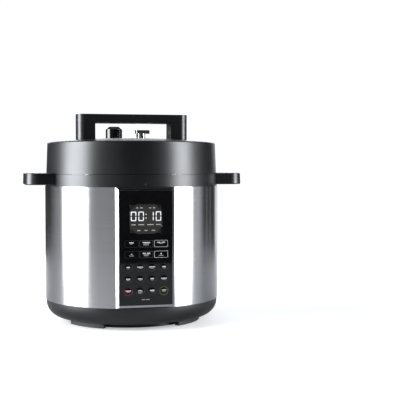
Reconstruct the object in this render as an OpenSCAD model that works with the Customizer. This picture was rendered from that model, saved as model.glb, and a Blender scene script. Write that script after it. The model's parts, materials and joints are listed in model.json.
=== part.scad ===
// Electric pressure cooker, 6 litre class, standing free on a worktop.
// The origin is on the floor under the cooker's axis, +Z is up and the control panel faces -Y.

/* [Body] */
// Outer radius of the brushed steel shell
body_r = 135; // [134.5:0.1:135.5]
// Height of the steel shell's lower edge above the floor
shell_low_z = 35; // [34.5:0.1:35.5]
// Height of the steel shell itself
shell_h = 175.4; // [175:0.1:176]
// Sheet thickness of the steel shell
shell_wall = 1; // [0.8:0.1:1]
// Height of the black collar above the steel
collar_h = 18.1; // [17.8:0.1:18.4]

/* [Base] */
// Height of the base shell's underside above the floor
base_low_z = 7.5; // [6.5:0.1:8]
// Radius of the rounding round the underside
base_round = 24; // [22:0.5:25]
// Wall of the base shell
base_wall = 2.5; // [2:0.1:3]
// Outer radius of the four foot pads
foot_r = 107; // [105:0.5:108]
// Radius of the standing ring in the middle
plinth_r = 92.5; // [91:0.5:93]

/* [Control panel] */
// Width of the gloss fascia
panel_w = 78.2; // [77:0.1:79]
// Height of the gloss fascia
panel_h = 166.5; // [166:0.1:167]
// Height of the fascia's lower edge above the floor
panel_low_z = 39.5; // [39:0.1:40]
// Distance of the fascia's face in front of the axis
panel_face = 133; // [132.8:0.1:133.2]
// Width of the steel bevel on each side of the fascia
bevel_w = 4.1; // [3.8:0.1:4.4]
// Width of the display window
display_w = 48; // [46:0.5:49]
// Height of the display window
display_h = 43; // [41:0.5:44]

/* [Keys] */
// Width of a rectangular key
rect_key_w = 20.4; // [19:0.1:20.6]
// Height of a rectangular key
rect_key_h = 10.4; // [9:0.1:11]
// Radius of a round key
round_key_r = 6.5; // [5.5:0.1:6.8]
// Travel of every key
key_travel = 0.8; // [0.4:0.1:0.8]

/* [Lid] */
// Height of the lid's upright side
lid_side_h = 48.9; // [48:0.1:50]
// Rise of the lid's dome above its edge
dome_rise = 6.8; // [6:0.1:7.5]
// Wall of the lid cover
lid_wall = 2.5; // [2.2:0.1:2.8]
// Height of the lid handle's top above the top of the dome
handle_rise = 36.7; // [35:0.1:38]
// Length of the lid handle
handle_len = 174; // [170:0.5:176]
// Depth of the lid handle, front to back
handle_depth = 40; // [36:0.5:42]
// Width of the opening under the lid handle
handle_gap = 118.6; // [112:0.1:124]

/* [Side handles] */
// Reach of each side handle from the axis
side_reach = 167.6; // [165:0.1:172]
// Half the width of a side handle, front to back
side_half = 54; // [51:0.5:56]
// Thickness of a side handle
side_thick = 17.6; // [16.4:0.1:17.8]

/* [Pot] */
// Outer radius of the inner pot's wall
pot_r = 110; // [109:0.1:110.5]
// Outer radius of the inner pot's rim
pot_rim_r = 120.5; // [119.5:0.1:120.8]
// Height of the inner pot
pot_h = 158.1; // [157.5:0.1:158.4]
// Wall of the inner pot
pot_wall = 2; // [1.6:0.1:2.4]

/* [Hidden] */
$fn = 128;
PLASTIC = [0.05, 0.05, 0.055];
GLOSS = [0.02, 0.02, 0.022];
STEEL = [0.72, 0.72, 0.71];
ALLOY = [0.62, 0.63, 0.64];

eps = 0.5;
gap = 0.3;
shell_top_z = shell_low_z + shell_h;
collar_top_z = shell_top_z + collar_h;
collar_r = body_r - 1;
collar_wall = 1.8;
lid_low_z = collar_top_z + gap;
lid_low_r = body_r - 1.9;
lid_top_r = body_r - 3.7;
lid_edge_z = lid_low_z + lid_side_h;
lid_round = 2.5;
dome_top_z = lid_edge_z + dome_rise;
handle_top_z = dome_top_z + handle_rise;
handle_bar = 13.2;
// The shadow gap between the lid and the collar: its height in each part, and its depth
seam_h = 0.5;
seam_depth = 0.8;
handle_round = 13;

// Levels inside the collar, from the pot's rim upwards
rim_top_z = collar_top_z - 10.1;
pot_low_z = rim_top_z - pot_h;
rim_thick = 2;
tank_top_z = rim_top_z - 3.2;
tank_shelf_z = collar_top_z - 17.9;
lug_low_z = collar_top_z - 5;
lug_high_z = collar_top_z - 2.5;
plate_skirt_z = collar_top_z - 8.9;
plate_lug_z = plate_skirt_z + 3;
plate_z = collar_top_z + 1.8;
plate_wall = 1.2;
plate_flat_r = 85;
plate_rise = 8.5;
plate_skirt_r = 123;

// Heating chamber and what stands under it
tank_r = 113;
tank_wall = 1.5;
tank_floor_z = 44;
heater_r = 100;
heater_top_z = pot_low_z - gap;
heater_low_z = tank_floor_z + 4;
sensor_r = 14;
sensor_hole_r = 16;
spring_seat_z = 37.5;
HEATER_POST_R = 46;
sensor_low_z = 47;

// Bayonet: six lugs on the lid pass between six lugs on the ring
lug_count = 6;
lug_span = 26;
ring_r = body_r - 4.2;
lid_lug_r = 128.5;

// Front panel, from the fascia's face backwards
fascia_t = 3.5;
fascia_back = panel_face - fascia_t;
panel_mid_z = panel_low_z + panel_h / 2;
display_x = 0.4;
display_z = panel_low_z + 125;
board_face = 121.6;
board_t = 1.6;
window_t = 1.6;
board_w = 76;
board_h = 158;
post_x = 36;
post_z = 76;
key_flange = 1.2;
key_flange_back = fascia_back - gap;
switch_top = board_face + 4.2;

// Keys: two rows of three rectangles, then three rows of four discs
RECT_KEYS = ["key_saute", "key_pressure", "key_slow_cook", "key_minus", "key_level", "key_plus"];
ROUND_KEYS = ["key_rice", "key_grains", "key_beans", "key_meat", "key_soup", "key_steam",
              "key_egg", "key_yogurt", "key_cancel", "key_keep_warm", "key_delay", "key_start"];
function rect_key_pos(i) = [0.7 + 21.6 * (i % 3 - 1), panel_low_z + 89.3 - 15.6 * floor(i / 3)];
function round_key_pos(i) = [0.2 + 17.4 * (i % 4 - 1.5), panel_low_z + 54.3 - 17.1 * floor(i / 4)];

// Lid fittings behind the handle
fitting_y = 55;
knob_x = -20.7;
knob_r = 13.4;
knob_low_z = dome_top_z - 0.4;
pipe_r = 4;
pipe_bore_r = 1.5;
knob_bore_r = pipe_r + 0.06;
float_x = 23.4;
float_stem_r = 7.25;
float_pin_r = 3;
lid_screw_ring = 97;
handle_screw_x = 73;
handle_screw_y = 10;

// Back of the cooker
inlet_z = 62;
inlet_w = 27;
inlet_h = 20;
cup_w = 56;
cup_depth = 28.5;
cup_h = 45;
cup_y = 139.5;
cup_top_z = 199;
cup_wall = 1.5;
cup_lip = 3;
cup_lip_t = 1.7;

function arc(cx, cy, r, from, to, steps = 10) =
    [for (i = [0:steps]) let (a = from + (to - from) * i / steps) [cx + r * cos(a), cy + r * sin(a)]];
function dome_z(r) = lid_edge_z + dome_rise * (1 - pow(r / (lid_top_r - lid_round), 2));
function plate_top(r) = plate_z + plate_wall + plate_rise * (1 - pow(r / plate_flat_r, 2));
// The lid's outside from its lower edge to the axis, moved inwards and down by a wall
function lid_side(wall) = concat(
    [[lid_low_r - wall - seam_depth, lid_low_z], [lid_low_r - wall - seam_depth, lid_low_z + seam_h],
     [lid_low_r - wall, lid_low_z + seam_h]],
    arc(lid_top_r - lid_round - wall, lid_edge_z - lid_round - wall, lid_round, 0, 88, 6),
    [for (i = [1:10]) let (r = (lid_top_r - lid_round) * (1 - i / 10)) [r, dome_z(r) - wall]]);

module ring(outer, inner, low, high) {
    rotate_extrude() translate([inner, low]) square([outer - inner, high - low]);
}

module disc(r, low, high) {
    translate([0, 0, low]) cylinder(r = r, h = high - low);
}

module block(x0, x1, y0, y1, z0, z1) {
    translate([x0, y0, z0]) cube([x1 - x0, y1 - y0, z1 - z0]);
}

// The children at four places on a circle about the axis
module quarters(r) {
    for (a = [45:90:315]) rotate([0, 0, a]) translate([r, 0, 0]) children();
}

// The children at the four corners of a rectangle about the axis
module corners(x, y) {
    for (i = [-1, 1], j = [-1, 1]) translate([i * x, j * y, 0]) children();
}

module rounded(w, h, r) {
    square([w - 2 * r, h], center = true);
    square([w, h - 2 * r], center = true);
    for (x = [-1, 1], y = [-1, 1]) translate([x * (w / 2 - r), y * (h / 2 - r)]) circle(r = r, $fn = 48);
}

// Stands a flat outline up in the panel: it reaches from y = -back to y = -front
module on_panel(x, z, back, front) {
    translate([x, -back, z]) rotate([90, 0, 0]) linear_extrude(front - back) children();
}

module panel_pin(x, z, r, back, front) {
    translate([x, -back, z]) rotate([90, 0, 0]) cylinder(r = r, h = front - back, $fn = 32);
}

module sector(r, span) {
    polygon(concat([[0, 0]], [for (i = [0:4]) r * [cos(span * (i / 4 - 0.5)), sin(span * (i / 4 - 0.5))]]));
}

module lugs(outer, inner, low, high, offset) {
    for (i = [0:lug_count - 1]) rotate([0, 0, offset + i * 360 / lug_count])
        translate([0, 0, low]) linear_extrude(high - low) intersection() {
            difference() {
                circle(r = outer);
                circle(r = inner);
            }
            sector(outer + 20, lug_span);
        }
}

// The front of the cooker, where the steel is flat and the round linings are cut back
module front_box(low, high) {
    block(-46, 46, -150, -100, low, high);
}

// A tube along a list of points; every ring lies square to the path
module tube(path, r, up = [0, 0, 1], sides = 8) {
    last = len(path) - 1;
    points = [for (i = [0:last])
        let (along = path[min(i + 1, last)] - path[max(i - 1, 0)],
             t = along / norm(along),
             c = cross(t, up),
             u = c / norm(c),
             v = cross(u, t))
        for (k = [0:sides - 1]) path[i] + r * (u * cos(k * 360 / sides) + v * sin(k * 360 / sides))];
    walls = [for (i = [0:last - 1], k = [0:sides - 1]) let (a = i * sides, b = a + sides, n = (k + 1) % sides)
        [a + k, a + n, b + n, b + k]];
    ends = [[for (k = [sides - 1:-1:0]) k], [for (k = [0:sides - 1]) last * sides + k]];
    polyhedron(points, concat(walls, ends), convexity = 6);
}

// ---- Base ----

BASE_LEDGE_Z = 11;
BASE_LEDGE_R = 72;
BASE_SCREW_RING = 78;
module base_shell() {
    lip_r = body_r - shell_wall - gap;
    centre_r = collar_r - base_round;
    centre_z = base_low_z + base_round;
    color(PLASTIC) difference() {
        union() {
            rotate_extrude() polygon(concat(
                [[foot_r - 9, base_low_z]],
                arc(centre_r, centre_z, base_round, -90, 0, 12),
                [[collar_r, shell_low_z], [lip_r, shell_low_z], [lip_r, shell_low_z + 7],
                 [collar_r - base_wall, shell_low_z + 7]],
                arc(centre_r, centre_z, base_round - base_wall, 0, -90, 12),
                [[foot_r - 9, base_low_z + base_wall]]));
            ring(foot_r - 6, foot_r - 9, base_low_z, BASE_LEDGE_Z + 2);
            ring(foot_r - 8, BASE_LEDGE_R, BASE_LEDGE_Z, BASE_LEDGE_Z + 2);
            // Closes the step under the panel's frame
            intersection() {
                block(-46, 46, -150, -124, shell_low_z - 2.5, shell_low_z);
                disc(collar_r - 1, 0, shell_low_z);
            }
            quarters(BASE_SCREW_RING) translate([0, 0, BASE_LEDGE_Z + 1]) cylinder(r = 5, h = 13, $fn = 48);
        }
        front_box(shell_low_z, 60);
        quarters(BASE_SCREW_RING) cylinder(r = 1.6, h = 40, $fn = 32);
    }
}

module base_plate() {
    color(PLASTIC) difference() {
        union() {
            disc(foot_r - 9.4, base_low_z + 0.7, BASE_LEDGE_Z);
            ring(plinth_r, plinth_r - 6.5, 0, base_low_z + 1);
        }
        quarters(BASE_SCREW_RING) translate([0, 0, -eps]) cylinder(r = 1.8, h = 20, $fn = 32);
        for (i = [0:15]) rotate([0, 0, 11.25 + i * 22.5]) block(30, 60, -1.6, 1.6, 0, 20);
    }
}

module foot_pads() {
    color(PLASTIC) for (a = [-129, -51, 51, 129])
        rotate([0, 0, a - 90]) linear_extrude(base_low_z) intersection() {
            difference() {
                circle(r = foot_r);
                circle(r = foot_r - 8.5);
            }
            sector(foot_r + 20, 38);
        }
}

module base_screws() {
    color(STEEL) quarters(BASE_SCREW_RING) {
        difference() {
            translate([0, 0, base_low_z - 1.5]) cylinder(r = 3.5, h = 2.2, $fn = 48);
            block(-2.2, 2.2, -0.4, 0.4, base_low_z - 2, base_low_z - 0.7);
        }
        translate([0, 0, base_low_z + 0.7]) cylinder(r = 1.5, h = 15, $fn = 32);
    }
}

// ---- Body ----

frame_low_edge = 1.2;
frame_edge = 0.4;
// The body as a solid: a cylinder with its front cut off flat, and the bevelled frame that stands on it.
// The inset moves every surface inwards, and grow lengthens the cylinder past both its ends.
module body_solid(inset, grow) {
    r = body_r - inset;
    half = panel_w / 2 + bevel_w + 0.2 - 0.4 * inset;
    flat = panel_w / 2 + frame_edge - 0.6 * inset;
    chord = sqrt(r * r - half * half);
    face = panel_face - inset;
    trim = 0.5 * inset;
    front_low = shell_low_z + frame_low_edge + trim;
    front_high = panel_low_z + panel_h + frame_edge - trim;
    difference() {
        disc(r, shell_low_z - grow, shell_top_z + grow);
        block(-half, half, -r - 1, -chord, shell_low_z - grow - 1, shell_top_z + grow + 1);
    }
    hull() {
        block(-half, half, -chord, 1 - chord, shell_low_z + trim, shell_top_z - trim);
        block(-flat, flat, -face, 0.01 - face, front_low, front_high);
    }
}

module steel_shell() {
    color(STEEL) difference() {
        body_solid(0, 0);
        body_solid(shell_wall, 1);
        window = panel_w / 2 + 0.15;
        block(-window, window, -150, -120, panel_low_z - 0.15, panel_low_z + panel_h + 0.15);
        hole_w = inlet_w / 2 + 0.2;
        hole_h = inlet_h / 2 + 0.2;
        block(-hole_w, hole_w, 120, 150, inlet_z - hole_h, inlet_z + hole_h);
    }
}

SIDE_SCREW_Z = collar_top_z - 12.3;
SIDE_SCREW_Y = 30;
SIDE_SCREW_TIP = 142.4;
module side_screw_holes(r) {
    for (s = [-1, 1], y = [-1, 1]) translate([0, y * SIDE_SCREW_Y, SIDE_SCREW_Z]) rotate([0, s * 90, 0])
        cylinder(r = r, h = SIDE_SCREW_TIP + 0.3, $fn = 32);
}

// The collar's brow stands over the panel's frame and leaves this much of the frame's top bevel to be seen
brow_step = 1.4;
module collar_brow() {
    half = panel_w / 2 + frame_edge;
    low = panel_low_z + panel_h + brow_step;
    difference() {
        union() {
            block(-half, half, -panel_face, -collar_r + 6, low, shell_top_z);
            intersection() {
                block(-half, half, -panel_face, -collar_r + 6, low, shell_top_z + 1.5);
                ring(collar_r, collar_r - collar_wall, low, shell_top_z + 2);
            }
        }
        body_solid(-0.12, 0);
    }
}

dimple_r = 1.9;
module collar() {
    lip_r = body_r - shell_wall - gap;
    groove_r = collar_r - seam_depth;
    inner_r = collar_r - collar_wall;
    color(PLASTIC) union() {
        collar_brow();
        difference() {
            rotate_extrude() polygon([
                [collar_r, shell_top_z], [collar_r, collar_top_z - seam_h], [groove_r, collar_top_z - seam_h],
                [groove_r, collar_top_z], [inner_r, collar_top_z], [inner_r, shell_top_z - 5],
                [lip_r, shell_top_z - 5], [lip_r, shell_top_z]]);
            front_box(shell_top_z - 10, shell_top_z);
            side_screw_holes(2.2);
            translate([0, 5 - collar_r, shell_top_z + 4]) rotate([90, 0, 0])
                cylinder(r = dimple_r, h = 20, $fn = 32);
        }
    }
}

side_low_z = collar_top_z - 16;
side_corner = 20;
side_edge = 1.2;
side_wall = 7;
side_recess = 8;

// A side handle seen from above, made smaller all round by the inset, from x = inner outwards
module side_outline(s, inset, inner) {
    corner_x = side_reach - side_corner;
    corner_y = side_half - side_corner;
    hull() for (y = [-1, 1]) {
        translate([s * corner_x, y * corner_y]) circle(r = side_corner - inset, $fn = 96);
        translate([s * (inner + 2), y * (side_half - inset - 2)]) circle(r = 2, $fn = 32);
    }
}

// One slice of a side handle, for the hull between them
module side_slice(s, inset, z) {
    translate([0, 0, side_low_z + z]) linear_extrude(0.02) side_outline(s, inset, 112);
}

module side_handle(s) {
    color(PLASTIC) difference() {
        hull() {
            side_slice(s, side_edge, 0);
            side_slice(s, 0, side_edge);
            side_slice(s, side_edge / 2, side_thick - side_edge / 2);
            side_slice(s, side_edge, side_thick - 0.02);
        }
        disc(collar_r, side_low_z - 1, side_low_z + side_thick + 1);
        translate([0, 0, side_low_z - 1]) linear_extrude(side_recess + 1)
            side_outline(s, side_wall, SIDE_SCREW_TIP + 0.8);
        side_screw_holes(1.6);
    }
}

module side_handle_left() {
    side_handle(-1);
}

module side_handle_right() {
    side_handle(1);
}

module handle_screws() {
    head_x = 124.4;
    head_h = 2;
    color(STEEL) for (s = [-1, 1], y = [-1, 1])
        translate([0, y * SIDE_SCREW_Y, SIDE_SCREW_Z]) rotate([0, s * 90, 0]) {
            translate([0, 0, head_x]) cylinder(r = 3.1, h = head_h, $fn = 48);
            translate([0, 0, head_x + head_h])
                cylinder(r = 1.5, h = SIDE_SCREW_TIP - head_x - head_h, $fn = 32);
        }
}

module bayonet_ring() {
    color(STEEL) difference() {
        union() {
            ring(ring_r + 1, ring_r, tank_shelf_z + 1.2, lug_high_z);
            ring(ring_r + 0.5, 124, tank_shelf_z + 1.2, tank_shelf_z + 2.4);
            lugs(ring_r + 0.5, 124.5, lug_low_z, lug_high_z, 0);
        }
        side_screw_holes(2.2);
    }
}

// ---- Heating chamber ----

module heating_chamber() {
    wall_r = tank_r + tank_wall;
    color(ALLOY) difference() {
        rotate_extrude() polygon([
            [40, tank_floor_z], [wall_r, tank_floor_z], [wall_r, tank_top_z - 1.2], [121.5, tank_top_z - 1.2],
            [121.5, tank_shelf_z], [ring_r + 1, tank_shelf_z], [ring_r + 1, tank_shelf_z + 1.2],
            [122.7, tank_shelf_z + 1.2], [122.7, tank_top_z], [tank_r, tank_top_z],
            [tank_r, tank_floor_z + tank_wall], [40, tank_floor_z + tank_wall]]);
        for (a = [-1, 1]) rotate([0, 0, a * 25]) translate([0, 80, 0]) cylinder(r = 5, h = 60, $fn = 48);
    }
}

module heating_plate() {
    color(ALLOY) {
        difference() {
            rotate_extrude() polygon([
                [sensor_hole_r, heater_low_z + 3], [30, heater_low_z + 3], [50, heater_low_z + 5],
                [64, heater_low_z], [86, heater_low_z], [92, heater_low_z + 6],
                [heater_r, heater_top_z - 3.5],
                [heater_r, heater_top_z - 1.5], [heater_r - 4, heater_top_z], [sensor_hole_r, heater_top_z]]);
            for (a = [30:120:270]) rotate([0, 0, a]) translate([HEATER_POST_R, 0, 0])
                cylinder(r = 1.6, h = heater_low_z + 8, $fn = 32);
        }
        // The heating element's two terminals come down through the chamber's floor
        for (a = [-1, 1]) rotate([0, 0, a * 25]) translate([0, 80, tank_floor_z - 8])
            cylinder(r = 3, h = heater_low_z - tank_floor_z + 8.5, $fn = 48);
    }
}

module spring_plate() {
    color(STEEL) difference() {
        union() {
            disc(52, spring_seat_z - 1.2, spring_seat_z);
            for (a = [30:120:270]) rotate([0, 0, a]) translate([HEATER_POST_R, 0, spring_seat_z - 0.5])
                cylinder(r = 3, h = tank_floor_z - spring_seat_z + 0.5, $fn = 48);
        }
        for (a = [90:120:330]) rotate([0, 0, a]) translate([30, 0, 0]) cylinder(r = 9, h = 60, $fn = 64);
    }
}

module sensor_button() {
    color(ALLOY) {
        disc(9, sensor_low_z, heater_top_z - 8);
        disc(sensor_r, heater_top_z - 8, heater_top_z);
    }
}

module sensor_spring() {
    turns = 4;
    steps = 14;
    wire_r = 0.6;
    low = spring_seat_z + wire_r;
    high = sensor_low_z - wire_r - 0.1;
    color(STEEL) tube([for (i = [0:turns * steps]) let (a = 360 * i / steps)
        [7.5 * cos(a), 7.5 * sin(a), low + (high - low) * i / (turns * steps)]], wire_r);
}

module pressure_switch() {
    color([0.75, 0.72, 0.62]) {
        block(18, 42, -7, 7, 22, 33);
        translate([30, 0, 33]) cylinder(r = 5, h = 3.3, $fn = 48);
    }
    color(ALLOY) for (y = [-4, 4]) block(42, 48, y - 0.5, y + 0.5, 26, 29);
}

// ---- Control panel ----

module control_fascia() {
    color(GLOSS) difference() {
        union() {
            block(-panel_w / 2, panel_w / 2, -panel_face, -fascia_back, panel_low_z, panel_low_z + panel_h);
            for (x = [-1, 1], z = [-1, 1]) {
                panel_pin(x * post_x, panel_mid_z + z * post_z, 2.4, board_face, fascia_back + 1);
                panel_pin(x * post_x, panel_mid_z + z * post_z, 1.2, board_face - 3, fascia_back);
            }
        }
        on_panel(display_x, display_z, panel_face - window_t, panel_face + 1)
            square([display_w + 0.2, display_h + 0.2], center = true);
        on_panel(display_x, display_z, fascia_back - 1, panel_face)
            square([display_w - 2, display_h - 2], center = true);
        for (i = [0:5]) on_panel(rect_key_pos(i)[0], rect_key_pos(i)[1], fascia_back - 1, panel_face + 1)
            rounded(rect_key_w + 0.7, rect_key_h + 0.7, 1.4);
        for (i = [0:11]) let (p = round_key_pos(i))
            panel_pin(p[0], p[1], round_key_r + 0.35, fascia_back - 1, panel_face + 1);
    }
}

module display_window() {
    color([0.15, 0.15, 0.15]) on_panel(display_x, display_z, panel_face - window_t, panel_face)
        square([display_w, display_h], center = true);
}

module display_module() {
    color([0.03, 0.03, 0.03]) on_panel(display_x, display_z, board_face, panel_face - 1.7)
        square([display_w - 2.6, display_h - 2.6], center = true);
}

module control_board() {
    color([0.05, 0.28, 0.14]) difference() {
        union() {
            on_panel(0, panel_mid_z, board_face - board_t, board_face)
                square([board_w, board_h], center = true);
            block(-6, 6, board_t - board_face - 0.2, -116, 60, 68);
        }
        for (x = [-1, 1], z = [-1, 1])
            panel_pin(x * post_x, panel_mid_z + z * post_z, 1.4, board_face - 5, board_face + 1);
    }
}

module key_switches() {
    places = concat([for (i = [0:5]) rect_key_pos(i)], [for (i = [0:11]) round_key_pos(i)]);
    color([0.12, 0.12, 0.12]) for (p = places) {
        on_panel(p[0], p[1], board_face, board_face + 3) square(6, center = true);
        panel_pin(p[0], p[1], 1.6, board_face + 3, switch_top);
    }
}

// A key's hidden back: the flange that keeps it in the fascia and the stem over its switch
module key_back(p) {
    panel_pin(p[0], p[1], 1.6, switch_top + key_travel + gap, key_flange_back - key_flange + 0.2);
}

module rect_key(i) {
    p = rect_key_pos(i);
    color(GLOSS) union() {
        on_panel(p[0], p[1], key_flange_back - 0.2, panel_face + 0.4) rounded(rect_key_w, rect_key_h, 1);
        on_panel(p[0], p[1], key_flange_back - key_flange, key_flange_back)
            square([rect_key_w, rect_key_h + 3], center = true);
        key_back(p);
    }
}

module round_key(i) {
    p = round_key_pos(i);
    crown = 1.1;
    color(GLOSS) union() {
        translate([p[0], 0.2 - key_flange_back, p[1]]) rotate([90, 0, 0])
            rotate_extrude($fn = 64) polygon(concat(
            [[0, 0], [round_key_r, 0]],
            [for (j = [0:8]) let (r = round_key_r * (1 - j / 8))
                [r, panel_face - key_flange_back + 0.2 + crown * (1 - pow(r / round_key_r, 2))]]));
        panel_pin(p[0], p[1], round_key_r + 1.1, key_flange_back - key_flange, key_flange_back);
        key_back(p);
    }
}

// ---- Electrics ----

BOARD_LOW = 20;
BOARD_PLACE = [-19, 17, 0];
module power_board() {
    color([0.45, 0.32, 0.12]) translate(BOARD_PLACE) difference() {
        union() {
            block(-35, 35, -25, 25, BOARD_LOW, BOARD_LOW + board_t);
            for (x = [-30, 30], y = [-20, 20]) translate([x, y, BASE_LEDGE_Z])
                cylinder(r = 3, h = BOARD_LOW - BASE_LEDGE_Z, $fn = 32);
        }
        block(-10, 0, -3, -2, BOARD_LOW - 1, BOARD_LOW + 3);
    }
}

module power_components() {
    top = BOARD_LOW + board_t;
    translate(BOARD_PLACE) {
        color([0.1, 0.2, 0.45]) block(-31, -13, 5, 20, top, top + 13);
        color([0.75, 0.65, 0.15]) block(-9, 9, 4, 21, top, top + 12);
        color([0.08, 0.08, 0.09]) for (x = [-27, -16]) translate([x, -12, top])
            cylinder(r = 4, h = 12, $fn = 48);
        color(ALLOY) for (y = [-20:3:-8]) block(-2, 22, y, y + 1.2, top, top + 13);
        color([0.8, 0.8, 0.78]) block(13, 27, 8, 18, top, top + 8);
    }
}

module power_inlet() {
    low = inlet_z - inlet_h / 2;
    high = inlet_z + inlet_h / 2;
    flange = 4;
    color(PLASTIC) difference() {
        union() {
            block(-inlet_w / 2, inlet_w / 2, 118, 134, low, high);
            difference() {
                block(-inlet_w / 2 - flange, inlet_w / 2 + flange, 130, 137.5, low - flange, high + flange);
                disc(body_r, 30, 90);
            }
            block(-inlet_w / 2, inlet_w / 2, 133, 137.5, inlet_z - inlet_h / 2, inlet_z + inlet_h / 2);
        }
        block(-12.2, 12.2, 120.5, 150, inlet_z - 8.3, inlet_z + 8.3);
    }
}

module inlet_pins() {
    color(STEEL) for (p = [[-7, -2], [0, 2], [7, -2]]) {
        block(p[0] - 1, p[0] + 1, 120.5, 133, inlet_z + p[1] - 2, inlet_z + p[1] + 2);
        block(p[0] - 1, p[0] + 1, 115.6, 118, inlet_z + p[1] - 2, inlet_z + p[1] + 2);
    }
}

// Wire routes: mains from the inlet's tabs to the power board, signals from there up to the control board
LIVE_WIRE = [[7, 116.8, 57.9], [7, 117, 50], [8, 117, 44], [9, 112, 36], [8, 96, 31], [6, 70, 30],
             [4, 50, 28], [4, 40, 26], [4, 35.1, 26]];
NEUTRAL_WIRE = [[-7, 116.8, 57.9], [-7, 117, 50], [-8, 117, 44], [-9, 112, 36], [-8, 96, 31], [-5, 70, 30],
                [-1, 50, 28], [-1, 40, 26], [-1, 35.1, 26]];
SIGNAL_WIRE = [[-12, -8.2, 21], [-11, -20, 22], [-8, -60, 26], [-3, -95, 28], [0, -112, 34], [0, -117, 42],
               [0, -117.4, 50], [0, -117.4, 59.9]];
module wiring_loom() {
    color([0.75, 0.12, 0.1]) tube(LIVE_WIRE, 1, [1, 0, 0]);
    color([0.15, 0.2, 0.7]) tube(NEUTRAL_WIRE, 1, [1, 0, 0]);
    color([0.85, 0.85, 0.82]) tube(SIGNAL_WIRE, 1.6, [1, 0, 0]);
}

module cup_bracket() {
    color(PLASTIC) difference() {
        union() {
            block(-36, 36, 127, 138.5, 188, 206);
            block(-36, 36, 134, 162, 203, 206);
            for (s = [-1, 1]) {
                block(min(s * 31.6, s * 36), max(s * 31.6, s * 36), 134, 162, 192, 206);
                block(min(s * 28.8, s * 36), max(s * 28.8, s * 36), 134, 162, 192, 196.7);
            }
            translate([0, 150, 200]) cylinder(r = 5, h = 4, $fn = 48);
        }
        disc(body_r, 180, 220);
        translate([0, 150, 190]) cylinder(r = 3.5, h = 30, $fn = 48);
    }
}

module condensation_cup() {
    mid = cup_y + cup_depth / 2;
    low = cup_top_z - cup_h;
    color([0.85, 0.88, 0.9, 0.5]) difference() {
        union() {
            translate([0, mid, low]) linear_extrude(cup_h) rounded(cup_w, cup_depth, 6);
            translate([0, mid, cup_top_z - cup_lip_t]) linear_extrude(cup_lip_t)
                rounded(cup_w + 2 * cup_lip, cup_depth, 6);
        }
        translate([0, mid, low + cup_wall]) linear_extrude(cup_h)
            rounded(cup_w - 2 * cup_wall, cup_depth - 2 * cup_wall, 4.5);
    }
}

// ---- Pot and seal ----

module inner_pot() {
    corner = 24;
    color([0.08, 0.08, 0.085]) rotate_extrude() polygon(concat(
        [[0, pot_low_z]],
        arc(pot_r - corner, pot_low_z + corner, corner, -90, 0, 12),
        [[pot_r, rim_top_z - rim_thick], [pot_rim_r, rim_top_z - rim_thick], [pot_rim_r, rim_top_z],
         [pot_r - pot_wall, rim_top_z]],
        arc(pot_r - corner, pot_low_z + corner, corner - pot_wall, 0, -90, 12),
        [[0, pot_low_z + pot_wall]]));
}

module sealing_ring() {
    low = rim_top_z + gap;
    high = plate_z - gap;
    color([0.82, 0.82, 0.8]) rotate_extrude() polygon([
        [108, low + 2], [110, low], [121.4, low], [121.4, high], [108.5, high], [108.5, high - 2.4],
        [116.5, high - 2.8], [116.5, low + 3.4], [109, low + 3.8]]);
}

// ---- Lid ----

module lid_cover() {
    boss_low = plate_z + plate_wall;
    color(PLASTIC) difference() {
        union() {
            rotate_extrude() polygon(concat(lid_side(0), lid_cavity_points()));
            quarters(lid_screw_ring) translate([0, 0, boss_low])
                cylinder(r = 5, h = dome_z(lid_screw_ring) - lid_wall - boss_low + 0.8, $fn = 48);
        }
        quarters(lid_screw_ring) translate([0, 0, boss_low - 1]) cylinder(r = 1.7, h = 20, $fn = 32);
        translate([0, 0, lid_edge_z - 20]) {
            corners(handle_screw_x, handle_screw_y) cylinder(r = 1.8, h = 40, $fn = 32);
            translate([knob_x, fitting_y, 0]) cylinder(r = pipe_r + 1, h = 40, $fn = 64);
            translate([float_x, fitting_y, 0]) cylinder(r = float_stem_r + 0.6, h = 40, $fn = 64);
        }
    }
}

// The lid cover's inside, from the axis back to the lower edge
function lid_cavity_points() = let (p = lid_side(lid_wall)) [for (i = [len(p) - 1:-1:0]) p[i]];

module lid_solid() {
    rotate_extrude() polygon(concat([[0, lid_low_z]], lid_side(0)));
}

module lid_handle() {
    color(PLASTIC) difference() {
        translate([0, 0, lid_edge_z - 10]) linear_extrude(handle_top_z - lid_edge_z + 10)
            rounded(handle_len, handle_depth, handle_round);
        block(-handle_gap / 2, handle_gap / 2, -50, 50, lid_edge_z - 20, handle_top_z - handle_bar);
        lid_solid();
        translate([0, 0, lid_edge_z - 20]) corners(handle_screw_x, handle_screw_y)
            cylinder(r = 1.7, h = 40, $fn = 32);
    }
}

module lid_handle_screws() {
    top = dome_z(handle_screw_x + 4) - lid_wall - 0.2;
    color(STEEL) translate([0, 0, top - 2]) corners(handle_screw_x, handle_screw_y) {
        cylinder(r = 3.2, h = 2, $fn = 48);
        cylinder(r = 1.5, h = 18, $fn = 32);
    }
}

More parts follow.
